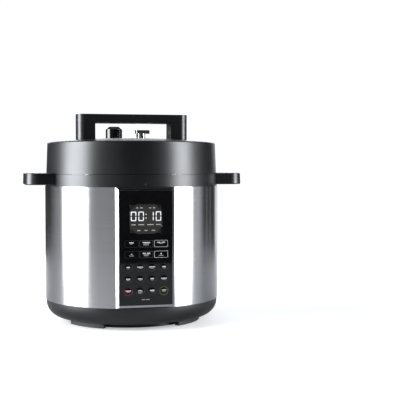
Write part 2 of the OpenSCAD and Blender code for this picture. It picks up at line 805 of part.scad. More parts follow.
module lid_plate() {
    outline = concat(
        [[plate_skirt_r - plate_wall, plate_skirt_z], [plate_skirt_r, plate_skirt_z],
         [plate_skirt_r, plate_z + plate_wall]],
        [for (i = [0:8]) let (r = plate_flat_r * (1 - i / 8)) [r, plate_top(r)]],
        [for (i = [8:-1:0]) let (r = plate_flat_r * (1 - i / 8)) [r, plate_top(r) - plate_wall]],
        [[plate_skirt_r - plate_wall, plate_z]]);
    color(STEEL) difference() {
        union() {
            rotate_extrude() polygon(outline);
            lugs(lid_lug_r, plate_skirt_r - 0.6, plate_skirt_z, plate_lug_z, 180 / lug_count);
        }
        quarters(lid_screw_ring) translate([0, 0, plate_z - 5]) cylinder(r = 1.7, h = 20, $fn = 32);
        translate([knob_x, fitting_y, plate_z - 5]) cylinder(r = pipe_r + 0.1, h = 30, $fn = 48);
        translate([float_x, fitting_y, plate_z - 5]) cylinder(r = 5.6, h = 30, $fn = 48);
    }
}

module ring_rack() {
    color(STEEL) {
        ring(107.4, 106.2, plate_z - 8, plate_z - 6.8);
        for (a = [0:60:300]) rotate([0, 0, a]) block(106.2, 107.4, -5, 5, plate_z - 7, plate_z);
    }
}

module lid_screws() {
    color(STEEL) for (a = [45:90:315]) rotate([0, 0, a]) translate([lid_screw_ring, 0, plate_z]) {
        translate([0, 0, -2]) cylinder(r = 3.4, h = 2, $fn = 48);
        translate([0, 0, -0.5]) cylinder(r = 1.5, h = 17, $fn = 32);
    }
}

module exhaust_pipe() {
    low = plate_z - 2.5;
    top = knob_low_z + 12.6;
    color(STEEL) translate([knob_x, fitting_y, 0]) difference() {
        union() {
            disc(pipe_r, low, top);
            disc(8, plate_z + 7.1, plate_z + 9.1);
        }
        disc(pipe_bore_r, low - 1, top + 1);
    }
}

module anti_block_shield() {
    top = plate_z + 1.4;
    color(STEEL) translate([knob_x, fitting_y, 0]) difference() {
        disc(12, top - 10, top);
        ring(10.8, pipe_r + 1, top - 8.8, top + 1);
        disc(pipe_r, top - 8.8, top + 1);
        for (a = [0:45:315]) rotate([0, 0, a]) block(9, 15, -1, 1, top - 7, top - 3);
    }
}

module float_guide() {
    color([0.75, 0.6, 0.3]) translate([float_x, fitting_y, 0]) difference() {
        union() {
            disc(5.4, plate_z + 3, plate_z + 20);
            disc(8, plate_z + 7.2, plate_z + 9);
        }
        disc(float_pin_r + 0.06, plate_z, plate_z + 30);
    }
}

module float_valve() {
    bar_top = dome_top_z + 14.9;
    bar_low = bar_top - 5.6;
    color([0.8, 0.8, 0.82]) translate([float_x, fitting_y, 0]) {
        disc(4.6, plate_z - 4, plate_z - 2);
        disc(float_pin_r, plate_z - 2.5, lid_edge_z - 5);
        disc(float_stem_r, lid_edge_z - 5.5, bar_low + 0.5);
        translate([3.65, 0, bar_low]) linear_extrude(bar_top - bar_low) rounded(25.3, 13, 3);
    }
}

knob_top_r = 9.6;
module steam_knob() {
    shoulder = knob_low_z + 17.1;
    color(PLASTIC) translate([knob_x, fitting_y, 0]) difference() {
        rotate_extrude($fn = 96) polygon(concat(
            [[0, knob_low_z], [knob_r, knob_low_z]],
            arc(knob_r - 1.6, shoulder - 1.6, 1.6, 0, 55, 5),
            arc(knob_top_r - 1.2, shoulder + 2.1, 1.2, 35, 90, 5),
            [[0, shoulder + 3.3]]));
        disc(knob_bore_r, knob_low_z - 1, knob_low_z + 13.2);
        rotate([0, 0, 90]) block(knob_r - 1, knob_r + 1, -0.7, 0.7, shoulder - 9, shoulder + 1);
    }
}

// ---- Every node ----

base_shell();
base_plate();
foot_pads();
base_screws();
steel_shell();
collar();
side_handle_left();
side_handle_right();
handle_screws();
bayonet_ring();
heating_chamber();
heating_plate();
spring_plate();
sensor_button();
sensor_spring();
pressure_switch();
control_fascia();
display_window();
display_module();
control_board();
key_switches();
power_board();
power_components();
power_inlet();
inlet_pins();
wiring_loom();
cup_bracket();
condensation_cup();
inner_pot();
sealing_ring();
lid_cover();
lid_handle();
lid_handle_screws();
lid_plate();
ring_rack();
lid_screws();
exhaust_pipe();
anti_block_shield();
float_guide();
float_valve();
steam_knob();
for (i = [0:5]) rect_key(i);
for (i = [0:11]) round_key(i);
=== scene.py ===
"""Electric pressure cooker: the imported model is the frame, and this script adds its finish and fine detail.

Everything is in metres in the frame's own axes: +Z up, the control panel faces -Y, the floor is z = 0.
"""

import json
import math

import bpy
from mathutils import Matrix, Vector


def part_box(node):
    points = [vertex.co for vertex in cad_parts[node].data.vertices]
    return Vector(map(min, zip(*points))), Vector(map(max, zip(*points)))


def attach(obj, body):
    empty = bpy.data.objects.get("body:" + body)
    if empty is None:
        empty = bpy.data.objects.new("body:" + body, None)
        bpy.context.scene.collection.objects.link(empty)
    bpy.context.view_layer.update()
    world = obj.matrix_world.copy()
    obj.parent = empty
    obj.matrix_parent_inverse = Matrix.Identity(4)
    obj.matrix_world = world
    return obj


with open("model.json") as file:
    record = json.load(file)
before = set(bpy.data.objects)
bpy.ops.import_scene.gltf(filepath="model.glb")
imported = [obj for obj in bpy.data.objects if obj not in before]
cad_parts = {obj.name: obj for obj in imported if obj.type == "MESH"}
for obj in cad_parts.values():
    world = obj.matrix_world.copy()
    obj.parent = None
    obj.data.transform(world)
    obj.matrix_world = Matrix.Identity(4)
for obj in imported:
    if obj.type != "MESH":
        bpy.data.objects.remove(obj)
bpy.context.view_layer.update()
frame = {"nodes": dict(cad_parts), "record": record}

MM = 0.001
SCENE = bpy.context.scene

# ---------------------------------------------------------------- camera

CAMERA_AZIMUTH = -8.6  # degrees from -Y towards +X at which the camera stands
CAMERA_DISTANCE = 1.475
CAMERA_HEIGHT = 0.2428
CAMERA_TURN = 4.68  # degrees that the lens looks to the right of the cooker's axis
CAMERA_DIP = 2.66  # degrees that the lens looks down
CAMERA_LENS = 80.5


def around(azimuth, distance, height=0.0):
    """The point at that azimuth from -Y towards +X, as seen from above."""
    a = math.radians(azimuth)
    return Vector((distance * math.sin(a), -distance * math.cos(a), height))


def make_camera():
    data = bpy.data.cameras.new("camera")
    data.lens = CAMERA_LENS
    data.sensor_width = 36.0
    data.clip_end = 60.0
    camera = bpy.data.objects.new("camera", data)
    camera.location = around(CAMERA_AZIMUTH, CAMERA_DISTANCE, CAMERA_HEIGHT)
    heading = math.radians(CAMERA_AZIMUTH - CAMERA_TURN)
    camera.rotation_euler = (math.radians(90 - CAMERA_DIP), 0.0, heading)
    SCENE.collection.objects.link(camera)
    SCENE.camera = camera


make_camera()

# ---------------------------------------------------------------- materials


class Nodes:
    """A material's node tree, with short calls for what the finishes below share."""

    def __init__(self, name):
        self.material = bpy.data.materials.new(name)
        self.material.use_nodes = True
        self.tree = self.material.node_tree
        self.tree.nodes.clear()
        self.output = self.tree.nodes.new("ShaderNodeOutputMaterial")
        self.shader = self.tree.nodes.new("ShaderNodeBsdfPrincipled")
        self.tree.links.new(self.shader.outputs[0], self.output.inputs[0])
        self.place = self.tree.nodes.new("ShaderNodeTexCoord").outputs["Object"]

    def put(self, **values):
        """Sets the shader's own sockets, named in lower case with _ for a space."""
        for name, value in values.items():
            label = name.replace("_", " ").title().replace("Ior", "IOR")
            self.shader.inputs[label].default_value = value
        return self

    def link(self, source, target):
        self.tree.links.new(source, target)
        return source

    def noise(self, scale, detail=2.0, stretch=(1, 1, 1), roughness=0.5):
        mapping = self.tree.nodes.new("ShaderNodeMapping")
        mapping.inputs["Scale"].default_value = stretch
        self.link(self.place, mapping.inputs["Vector"])
        texture = self.tree.nodes.new("ShaderNodeTexNoise")
        texture.inputs["Scale"].default_value = scale
        texture.inputs["Detail"].default_value = detail
        texture.inputs["Roughness"].default_value = roughness
        self.link(mapping.outputs[0], texture.inputs["Vector"])
        return texture.outputs["Fac"]

    def ramp(self, source, low, high, start=0.3, end=0.7):
        """Maps source from start..end to the numbers low..high."""
        node = self.tree.nodes.new("ShaderNodeMapRange")
        for socket, value in (("From Min", start), ("From Max", end), ("To Min", low), ("To Max", high)):
            node.inputs[socket].default_value = value
        self.link(source, node.inputs["Value"])
        return node.outputs[0]

    def blend(self, factor, first, second):
        """Mixes two colours, or two colour sockets, by factor."""
        node = self.tree.nodes.new("ShaderNodeMix")
        node.data_type = "RGBA"
        self.link(factor, node.inputs["Factor"])
        colours = [s for s in node.inputs if s.type == "RGBA"]
        for socket, value in zip(colours, (first, second)):
            if isinstance(value, tuple):
                socket.default_value = (*value, 1.0)
            else:
                self.link(value, socket)
        return [s for s in node.outputs if s.type == "RGBA"][0]

    def bump(self, source, depth, strength=1.0):
        node = self.tree.nodes.new("ShaderNodeBump")
        node.inputs["Strength"].default_value = strength
        node.inputs["Distance"].default_value = depth
        self.link(source, node.inputs["Height"])
        last = self.shader.inputs["Normal"]
        if last.is_linked:
            self.link(last.links[0].from_socket, node.inputs["Normal"])
        self.link(node.outputs[0], last)
        return self

    def math(self, operation, a, b=None):
        node = self.tree.nodes.new("ShaderNodeMath")
        node.operation = operation
        for i, value in enumerate((a, b)):
            if value is None:
                continue
            if isinstance(value, (int, float)):
                node.inputs[i].default_value = value
            else:
                self.link(value, node.inputs[i])
        return node.outputs[0]

    def radius(self):
        """Distance from the cooker's axis."""
        split = self.tree.nodes.new("ShaderNodeSeparateXYZ")
        self.link(self.place, split.inputs[0])
        x2 = self.math("MULTIPLY", split.outputs[0], split.outputs[0])
        y2 = self.math("MULTIPLY", split.outputs[1], split.outputs[1])
        return self.math("SQRT", self.math("ADD", x2, y2))


def moulded_plastic(name, colour, roughness, grain=0.00002, grain_scale=1800.0):
    """Satin plastic: a fine moulded grain, faint flow marks and uneven sheen."""
    n = Nodes(name)
    fine = n.noise(grain_scale, 3.0)
    broad = n.noise(14.0, 3.0)
    lighter = tuple(c * 1.25 + 0.0003 for c in colour)
    n.put(ior=1.6)
    n.link(n.blend(n.ramp(broad, 0.0, 1.0), colour, lighter), n.shader.inputs["Base Color"])
    n.link(n.ramp(broad, roughness - 0.02, roughness + 0.02), n.shader.inputs["Roughness"])
    n.bump(fine, grain)
    return n.material


def gloss_plastic(name, colour, roughness=0.06, coat=0.4):
    """Polished plastic: nearly even, with a faint ripple and a few duller smudges."""
    n = Nodes(name).put(coat_weight=coat, coat_roughness=0.03)
    ripple = n.noise(22.0, 1.0)
    smudge = n.noise(60.0, 4.0, roughness=0.6)
    n.link(n.blend(n.ramp(smudge, 0.0, 1.0), colour, tuple(c * 1.3 + 0.0005 for c in colour)),
           n.shader.inputs["Base Color"])
    n.link(n.ramp(smudge, roughness, roughness + 0.05, 0.45, 0.8), n.shader.inputs["Roughness"])
    n.bump(ripple, 0.00001)
    return n.material


def brushed_metal(name, colour, roughness, stretch, anisotropic, depth=0.000012):
    """Metal with fine brush lines: the noise is drawn out along one or two axes and packed along the rest."""
    n = Nodes(name).put(metallic=1.0, anisotropic=anisotropic, anisotropic_rotation=0.25)
    lines = n.noise(1.0, 4.0, stretch, 0.65)
    wide = n.noise(0.25, 2.0, stretch, 0.5)
    stain = n.noise(9.0, 3.0)
    dark = tuple(c * 0.86 for c in colour)
    streaks = n.math("ADD", n.math("MULTIPLY", lines, 0.6), n.math("MULTIPLY", wide, 0.4))
    n.link(n.blend(n.ramp(streaks, 0.0, 1.0, 0.35, 0.65), dark, colour), n.shader.inputs["Base Color"])
    rough = n.math("ADD", n.ramp(lines, roughness - 0.04, roughness + 0.04), n.ramp(stain, -0.015, 0.015))
    n.link(rough, n.shader.inputs["Roughness"])
    n.bump(lines, depth)
    tangent = n.tree.nodes.new("ShaderNodeTangent")
    tangent.direction_type = "RADIAL"
    tangent.axis = "Z"
    n.link(tangent.outputs[0], n.shader.inputs["Tangent"])
    return n.material


def turned_metal(name, colour, roughness, turning=3600.0):
    """Metal faced on a lathe: fine rings about the cooker's axis, with turning as their radians per metre."""
    n = Nodes(name).put(metallic=1.0)
    rings = n.math("SINE", n.math("MULTIPLY", n.radius(), turning))
    blotch = n.noise(26.0, 4.0)
    dark = tuple(c * 0.8 for c in colour)
    n.link(n.blend(n.ramp(blotch, 0.0, 1.0), dark, colour), n.shader.inputs["Base Color"])
    n.link(n.ramp(blotch, roughness - 0.06, roughness + 0.06), n.shader.inputs["Roughness"])
    n.bump(rings, 0.00001, 0.6)
    return n.material


def polished_metal(name, colour, roughness=0.06):
    n = Nodes(name).put(metallic=1.0)
    haze = n.noise(140.0, 3.0)
    dark = tuple(c * 0.92 for c in colour)
    n.link(n.blend(n.ramp(haze, 0.0, 1.0), dark, colour), n.shader.inputs["Base Color"])
    n.link(n.ramp(haze, roughness, roughness + 0.05), n.shader.inputs["Roughness"])
    n.bump(haze, 0.000004)
    return n.material


def clear_plastic(name):
    n = Nodes(name).put(transmission_weight=1.0, ior=1.49, base_color=(0.93, 0.95, 0.96, 1.0))
    flow = n.noise(35.0, 3.0)
    n.link(n.ramp(flow, 0.02, 0.09), n.shader.inputs["Roughness"])
    n.bump(flow, 0.00003)
    return n.material


def smoked_glass(name):
    n = Nodes(name).put(transmission_weight=1.0, ior=1.45, base_color=(0.62, 0.62, 0.6, 1.0))
    smudge = n.noise(70.0, 4.0)
    n.link(n.ramp(smudge, 0.0, 0.03, 0.5, 0.8), n.shader.inputs["Roughness"])
    return n.material


def silicone(name):
    n = Nodes(name).put(subsurface_weight=0.35, subsurface_scale=0.004, ior=1.41)
    mottle = n.noise(90.0, 4.0)
    shade = n.blend(n.ramp(mottle, 0.0, 1.0), (0.74, 0.74, 0.71), (0.82, 0.82, 0.8))
    n.link(shade, n.shader.inputs["Base Color"])
    n.link(n.ramp(mottle, 0.42, 0.55), n.shader.inputs["Roughness"])
    n.bump(n.noise(900.0, 2.0), 0.00002)
    return n.material


def pot_finish(name):
    """Non-stick coat with fine bright specks; the rim's edge is bare metal."""
    n = Nodes(name)
    specks = n.tree.nodes.new("ShaderNodeTexVoronoi")
    specks.inputs["Scale"].default_value = 900.0
    n.link(n.place, specks.inputs["Vector"])
    fleck = n.ramp(specks.outputs["Distance"], 1.0, 0.0, 0.0, 0.22)
    coat = n.blend(n.math("MULTIPLY", fleck, 0.35), (0.012, 0.012, 0.014), (0.09, 0.09, 0.1))
    bare = n.ramp(n.radius(), 0.0, 1.0, 0.1188, 0.1191)
    n.link(n.blend(bare, coat, (0.66, 0.66, 0.67)), n.shader.inputs["Base Color"])
    n.link(bare, n.shader.inputs["Metallic"])
    n.link(n.ramp(n.noise(30.0, 3.0), 0.2, 0.3), n.shader.inputs["Roughness"])
    n.bump(specks.outputs["Distance"], 0.00001)
    return n.material


def circuit_board(name, mask, copper):
    """Solder mask over copper tracks: two grids of fine lines, broken up by noise."""
    n = Nodes(name).put(coat_weight=0.3, coat_roughness=0.15)
    bricks = n.tree.nodes.new("ShaderNodeTexBrick")
    for socket, value in (("Scale", 160.0), ("Mortar Size", 0.06), ("Brick Width", 0.9),
                          ("Row Height", 0.35)):
        bricks.inputs[socket].default_value = value
    n.link(n.place, bricks.inputs["Vector"])
    tracks = n.math("MULTIPLY", bricks.outputs["Fac"], n.ramp(n.noise(120.0, 2.0), 0.0, 1.0, 0.45, 0.55))
    n.link(n.blend(tracks, mask, copper), n.shader.inputs["Base Color"])
    n.link(n.ramp(n.noise(50.0), 0.3, 0.45), n.shader.inputs["Roughness"])
    n.bump(tracks, 0.00003)
    return n.material


def printed(name, colour, glow=0.0):
    """Screen-printed ink, or a lit segment when it glows: slightly uneven along its run. A faint glow on the
    white key ink is painted brightness, since that ink gives no light of its own.
    """
    n = Nodes(name).put(roughness=0.45)
    uneven = n.noise(700.0, 2.0)
    faded = tuple(c * 0.82 for c in colour)
    mixed = n.link(n.blend(n.ramp(uneven, 0.0, 1.0), faded, colour), n.shader.inputs["Base Color"])
    if glow:
        n.link(mixed, n.shader.inputs["Emission Color"])
        n.shader.inputs["Emission Strength"].default_value = glow
    return n.material


BLACK = (0.0016, 0.0016, 0.002)
MATERIALS = {
    "black_plastic": moulded_plastic("black_plastic", BLACK, 0.325),
    "knob_plastic": gloss_plastic("knob_plastic", (0.002, 0.002, 0.0025), 0.1, 0.2),
    "foot_rubber": moulded_plastic("foot_rubber", (0.014, 0.014, 0.015), 0.62, 0.00006, 1200.0),
    "screw_steel": polished_metal("screw_steel", (0.56, 0.56, 0.55), 0.22),
    "brushed_steel": brushed_metal("brushed_steel", (0.60, 0.60, 0.605), 0.19, (4, 4, 3200), 0.86, 0.000002),
    "pressed_steel": brushed_metal("pressed_steel", (0.62, 0.62, 0.62), 0.24, (500, 500, 40), 0.4),
    "aluminium": brushed_metal("aluminium", (0.66, 0.67, 0.68), 0.38, (20, 20, 500), 0.3),
    "cast_aluminium": turned_metal("cast_aluminium", (0.62, 0.63, 0.64), 0.34),
    "switch_body": moulded_plastic("switch_body", (0.03, 0.03, 0.03), 0.5),
    "gloss_black": gloss_plastic("gloss_black", (0.0015, 0.0015, 0.002), 0.03, 0.0),
    "display_glass": smoked_glass("display_glass"),
    "display_body": moulded_plastic("display_body", (0.035, 0.034, 0.031), 0.5),
    "board_green": circuit_board("board_green", (0.01, 0.1, 0.04), (0.06, 0.22, 0.08)),
    "board_brown": circuit_board("board_brown", (0.26, 0.15, 0.05), (0.5, 0.3, 0.12)),
    "component_plastic": gloss_plastic("component_plastic", (0.03, 0.06, 0.2), 0.3),
    "wire_insulation": moulded_plastic("wire_insulation", (0.5, 0.1, 0.08), 0.5),
    "clear_plastic": clear_plastic("clear_plastic"),
    "pot_coating": pot_finish("pot_coating"),
    "silicone": silicone("silicone"),
    "brass": polished_metal("brass", (0.72, 0.52, 0.24), 0.18),
    "chrome": polished_metal("chrome", (0.78, 0.78, 0.8)),
    "key_plastic": gloss_plastic("key_plastic", (0.0012, 0.0012, 0.0015), 0.05, 0.0),
}
# Nodes whose finish differs from the rest of their slot
NODE_MATERIALS = {"base_shell": moulded_plastic("base_plastic", BLACK, 0.36)}
LIT_WHITE = printed("lit_white", (0.95, 0.96, 1.0), 1.1)
LIT_DIM = printed("lit_dim", (0.8, 0.8, 0.8), 0.6)
FILM_GREY = printed("film_grey", (0.03, 0.029, 0.026), 0.35)
INKS = {
    # The white key ink glows faintly: painted brightness on printed ink, which gives no light of its own.
    "glowing_white_ink": printed("glowing_white_ink", (0.8, 0.8, 0.82), 0.1),
    "ink_pale": printed("ink_pale", (0.42, 0.42, 0.44)),
    # Grey ink is used only on rectangular keys' outlines, where its brightness is a painted highlight on
    # their raised edges.
    "ink_grey": printed("ink_grey", (0.1, 0.1, 0.105)),
    "ink_dim": printed("ink_dim", (0.022, 0.022, 0.024)),
    "ink_red": printed("ink_red", (0.3, 0.015, 0.025)),
    "ink_green": printed("ink_green", (0.2, 0.26, 0.03)),
}

# ---------------------------------------------------------------- carried-over CAD nodes

SHARP_DEGREES = 32.0
WELD = 0.002 * MM


def shading_group():
    """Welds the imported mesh's seams and shades it smooth, except across edges over SHARP_DEGREES."""
    group = bpy.data.node_groups.new("shade_by_angle", "GeometryNodeTree")
    group.interface.new_socket("Geometry", in_out="INPUT", socket_type="NodeSocketGeometry")
    group.interface.new_socket("Geometry", in_out="OUTPUT", socket_type="NodeSocketGeometry")
    start = group.nodes.new("NodeGroupInput")
    end = group.nodes.new("NodeGroupOutput")
    weld = group.nodes.new("GeometryNodeMergeByDistance")
    weld.inputs["Distance"].default_value = WELD
    drop = group.nodes.new("GeometryNodeRemoveAttribute")
    drop.inputs["Name"].default_value = "custom_normal"
    smooth = group.nodes.new("GeometryNodeSetShadeSmooth")
    sharp = group.nodes.new("GeometryNodeSetShadeSmooth")
    sharp.domain = "EDGE"
    angle = group.nodes.new("GeometryNodeInputMeshEdgeAngle")
    limit = group.nodes.new("FunctionNodeCompare")
    limit.data_type = "FLOAT"
    limit.operation = "LESS_EQUAL"
    limit.inputs["B"].default_value = math.radians(SHARP_DEGREES)
    links = group.links
    links.new(start.outputs[0], weld.inputs["Geometry"])
    links.new(weld.outputs[0], drop.inputs["Geometry"])
    links.new(drop.outputs[0], smooth.inputs["Geometry"])
    links.new(smooth.outputs[0], sharp.inputs["Geometry"])
    links.new(angle.outputs["Unsigned Angle"], limit.inputs["A"])
    links.new(limit.outputs[0], sharp.inputs["Shade Smooth"])
    links.new(sharp.outputs[0], end.inputs[0])
    return group


SHADING = shading_group()
# Width of the rounding on each node's sharp edges, in millimetres
KEY_ROUND = 0.25
EDGE_ROUNDS = {
    "lid_handle": 1.3, "side_handle_left": 1.4, "side_handle_right": 1.4, "collar": 0.5, "base_shell": 0.5,
    "lid_cover": 0.5, "steam_knob": 0.5, "float_valve": 0.5, "control_fascia": 0.35, "foot_pads": 0.6,
    "condensation_cup": 0.5, "cup_bracket": 0.6, "power_inlet": 0.5, "base_plate": 0.4, "steel_shell": 0.2,
    "display_window": 0.2, "bayonet_ring": 0.25, "lid_plate": 0.25, "inner_pot": 0.5,
}


def finish_node(name, material):
    node = frame["nodes"][name]
    node.data.materials.clear()
    node.data.materials.append(material)
    shade = node.modifiers.new("shade", "NODES")
    shade.node_group = SHADING
    is_key = name.startswith("key_") and name != "key_switches"
    width = KEY_ROUND if is_key else EDGE_ROUNDS.get(name)
    if width:
        bevel = node.modifiers.new("edges", "BEVEL")
        bevel.width = width * MM
        bevel.segments = 3
        bevel.limit_method = "ANGLE"
        bevel.angle_limit = math.radians(SHARP_DEGREES)
        bevel.harden_normals = True


for part in frame["record"]["subparts"]:
    finish_node(part["node"], NODE_MATERIALS.get(part["node"], MATERIALS[part["material_slot"]]))

# ---------------------------------------------------------------- printed and lit detail


SUNK = 0.4  # of its thickness, how far a raised plate reaches into the surface under it


def raised(name, body, outlines, surface, material, thick=0.05 * MM):
    """One piece made of thin raised plates on an upright surface: each outline is a closed list of (x, z)
    points, and surface(x, z) gives the y of the surface there."""
    verts, faces = [], []
    for outline in outlines:
        base, count = len(verts), len(outline)
        for lift in (-SUNK * thick, thick):
            verts += [(x, surface(x, z) - lift, z) for x, z in outline]
        faces.append([base + i for i in range(count)])
        faces.append([base + count + i for i in reversed(range(count))])
        faces += [[base + i, base + count + i, base + count + (i + 1) % count, base + (i + 1) % count]
                  for i in range(count)]
    mesh = bpy.data.meshes.new(name)
    mesh.from_pydata(verts, [], faces)
    mesh.update()
    mesh.materials.append(material)
    piece = bpy.data.objects.new(name, mesh)
    SCENE.collection.objects.link(piece)
    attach(piece, body)
    return piece


def bar(x, z, width, height):
    """A bar with chamfered ends, centred at (x, z)."""
    w, h, c = width / 2, height / 2, min(width, height) / 4
    return [(x - w, z - h + c), (x - w + c, z - h), (x + w - c, z - h), (x + w, z - h + c),
            (x + w, z + h - c), (x + w - c, z + h), (x - w + c, z + h), (x - w, z + h - c)]


def ring_segments(x, z, inner, outer, count=48):
    """A flat ring as a chain of quads."""
    angles = [math.radians(360.0 * i / count) for i in range(count + 1)]
    return [[(x + r * math.cos(a), z + r * math.sin(a))
             for r, a in ((inner, a0), (outer, a0), (outer, a1), (inner, a1))]
            for a0, a1 in zip(angles, angles[1:])]


def flat(y):
    """A surface for raised() that is an upright plane."""

    def surface(x, z):
        return y

    return surface


def middle(node):
    """The middle of a node's front face as (x, y, z), with its lowest and highest corners."""
    low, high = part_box(node)
    return (low.x + high.x) / 2, low.y, (low.z + high.z) / 2, low, high


def frame_outlines(x, z, width, height, line, corner):
    """A thin rounded rectangle as a chain of quads."""
    points = []
    for cx, cz, start in ((1, -1, -90), (1, 1, 0), (-1, 1, 90), (-1, -1, 180)):
        for step in range(5):
            a = math.radians(start + 22.5 * step)
            points.append((cx, cz, math.cos(a), math.sin(a)))
    inner, outer = [], []
    for cx, cz, dx, dz in points:
        px, pz = x + cx * (width / 2 - corner), z + cz * (height / 2 - corner)
        outer.append((px + corner * dx, pz + corner * dz))
        inner.append((px + (corner - line) * dx, pz + (corner - line) * dz))
    n = len(points)
    return [[inner[i], outer[i], outer[(i + 1) % n], inner[(i + 1) % n]] for i in range(n)]


# The segments that each digit lights: a on top, then clockwise to f
SEGMENTS = {"0": "abcdef", "1": "bc"}
SEGMENT_GAP = 0.18  # of a segment's width, at each of its ends
LYING_INSET = 0.3  # of half a segment's width, on top of the gap
UPRIGHT_INSET = 0.4


def digit(character, left, low, width, height, line):
    """Seven-segment outlines of one digit, each segment a flat hexagon."""
    right, top, centre = left + width, low + height, low + height / 2
    ends = {
        "a": ((left, top), (right, top)), "d": ((left, low), (right, low)),
        "f": ((left, centre), (left, top)), "b": ((right, centre), (right, top)),
        "e": ((left, low), (left, centre)), "c": ((right, low), (right, centre)),
    }
    outlines = []
    gap, t = SEGMENT_GAP * line, line / 2
    for letter in SEGMENTS[character]:
        (x0, z0), (x1, z1) = ends[letter]
        if letter in "ad":
            z = z0 + (-t if letter == "a" else t)
            a, b = x0 + gap + t * LYING_INSET, x1 - gap - t * LYING_INSET
            outlines.append([(a, z), (a + t, z - t), (b - t, z - t), (b, z), (b - t, z + t), (a + t, z + t)])
        else:
            x = x0 + (t if letter in "fe" else -t)
            a, b = z0 + gap + t * UPRIGHT_INSET, z1 - gap - t * UPRIGHT_INSET
            outlines.append([(x, a), (x + t, a + t), (x + t, b - t), (x, b), (x - t, b - t), (x - t, a + t)])
    return outlines


LETTER_PITCH = 1.1  # millimetres
LETTER_WIDTH = 0.74  # of the pitch
LETTER_HEIGHTS = (1.0, 0.72, 0.9)  # of the row's height, in turn


def mm_bars(left, top, rows):
    """Word-like bars: each row is (drop from the top, height, [(start, end), ...]), all in millimetres."""
    outlines = []
    for drop, height, spans in rows:
        for start, end in spans:
            pieces = max(1, round((end - start) / LETTER_PITCH))
            step = (end - start) / pieces
            for i in range(pieces):
                tall = height * LETTER_HEIGHTS[i % len(LETTER_HEIGHTS)]
                x = start + step * (i + 0.5)
                z = drop + (height - tall) / 2
                outlines.append(bar(left + x * MM, top - z * MM, step * LETTER_WIDTH * MM, tall * MM))
    return outlines


# The display, all in millimetres from the window's left and top edges
DIGITS = "0010"
DIGIT_OFFSETS = (2.0, 13.0, 27.4, 38.4)
DIGIT_DROP = 24.2
DIGIT_WIDTH = 7.9
DIGIT_HEIGHT = 13.6
DIGIT_LINE = 1.25
COLON_OFFSET = 24.2
COLON_DROPS = (14.6, 20.0)
COLON_SIZE = 1.4
DISPLAY_ROWS = (
    (5.2, 1.6, ((10.3, 12.9), (15.9, 19.3), (28.7, 31.6), (34.5, 37.6))),
    (29.5, 1.4, ((3.0, 9.0), (13.0, 21.6), (26.0, 35.2), (38.8, 45.6))),
    (37.9, 1.4, ((11.4, 15.9), (21.9, 26.2), (32.4, 37.6))),
)
FILM_INSET = 0.05 * MM  # behind the window's back face
FILM_EDGE = 0.3 * MM
FILM_THICK = 0.1 * MM
LIT_STEP = 0.12 * MM  # how far the lit parts stand in front of the film
LIT_THICK = 0.04 * MM


def display_detail():
    """The film behind the display window, and the digits and words that light up on it."""
    x, _, z, low, high = middle("display_window")
    left, top, back = low.x, high.z, high.y - FILM_INSET
    film = [bar(x, z, high.x - left - FILM_EDGE, top - low.z - FILM_EDGE)]
    raised("display_film", "housing", film, flat(back), FILM_GREY, FILM_THICK)
    face = flat(back - LIT_STEP)
    lit = []
    for character, offset in zip(DIGITS, DIGIT_OFFSETS):
        lit += digit(character, left + offset * MM, top - DIGIT_DROP * MM,
                     DIGIT_WIDTH * MM, DIGIT_HEIGHT * MM, DIGIT_LINE * MM)
    lit += [bar(left + COLON_OFFSET * MM, top - drop * MM, COLON_SIZE * MM, COLON_SIZE * MM)
            for drop in COLON_DROPS]
    raised("display_digits", "housing", lit, face, LIT_WHITE, LIT_THICK)
    words = mm_bars(left, top, DISPLAY_ROWS)
    raised("display_marks", "housing", words, face, LIT_DIM, LIT_THICK)


# The ink of each key's outline, where it isn't the dimmest one. The red and green are printed. The grey and
# white outlines of the rectangular keys are a painted highlight: brighter towards the right, where their
# raised edges catch the light.
OUTLINE_INKS_AND_HIGHLIGHTS = {
    "key_cancel": "ink_red", "key_start": "ink_green", "key_slow_cook": "glowing_white_ink", "key_plus": "glowing_white_ink",
    "key_pressure": "ink_grey", "key_level": "ink_grey",
}
# The printed words on each key, as spans across it: a bright first row, then dimmer ones
WIDE_LEGENDS = {
    "key_saute": (((-3.3, 3.3),), ((-2.2, 1.6),), ()),
    "key_pressure": (((-5.6, 5.6),), ((-4.0, 4.4),), ((-4.6, 3.6),)),
    "key_slow_cook": (((-5.8, -0.8), (0.8, 5.9)), ((-2.8, 2.4),), ()),
    "key_minus": ((), (), ((-3.4, 3.3),)),
    "key_level": (((-5.4, -0.4), (0.9, 5.6)), ((-4.2, 4.0),), ((-3.6, 3.4),)),
    "key_plus": ((), (), ((-3.4, 3.3),)),
}
SIGN_KEYS = ("key_minus", "key_plus")
ROUND_LEGENDS = {
    "key_rice": (((-2.4, 2.4),), ((-1.4, 1.4),)),
    "key_grains": (((-4.2, 4.2),), ((-2.0, 2.2),)),
    "key_beans": (((-4.4, 4.4),), ((-2.4, 2.6),)),
    "key_meat": (((-2.8, 2.8),), ((-1.8, 2.6),)),
    "key_soup": (((-2.8, 2.8),), ((-2.4, 2.0),)),
    "key_steam": (((-3.4, 3.4),), ((-1.8, 1.8),)),
    "key_egg": (((-2.6, 2.8),), ((-1.6, 1.8),)),
    "key_yogurt": (((-4.2, 4.0),), ((-2.4, 2.6),)),
    "key_cancel": (((-3.9, 3.8),), ((-2.4, 1.8),)),
    "key_keep_warm": (((-2.9, 2.7),), ((-3.4, 3.4),), ((-2.8, 2.6),)),
    "key_delay": (((-3.2, 3.6),), ((-1.6, 2.4),)),
    "key_start": (((-3.2, 3.2),), ((-2.2, 2.0),)),
}


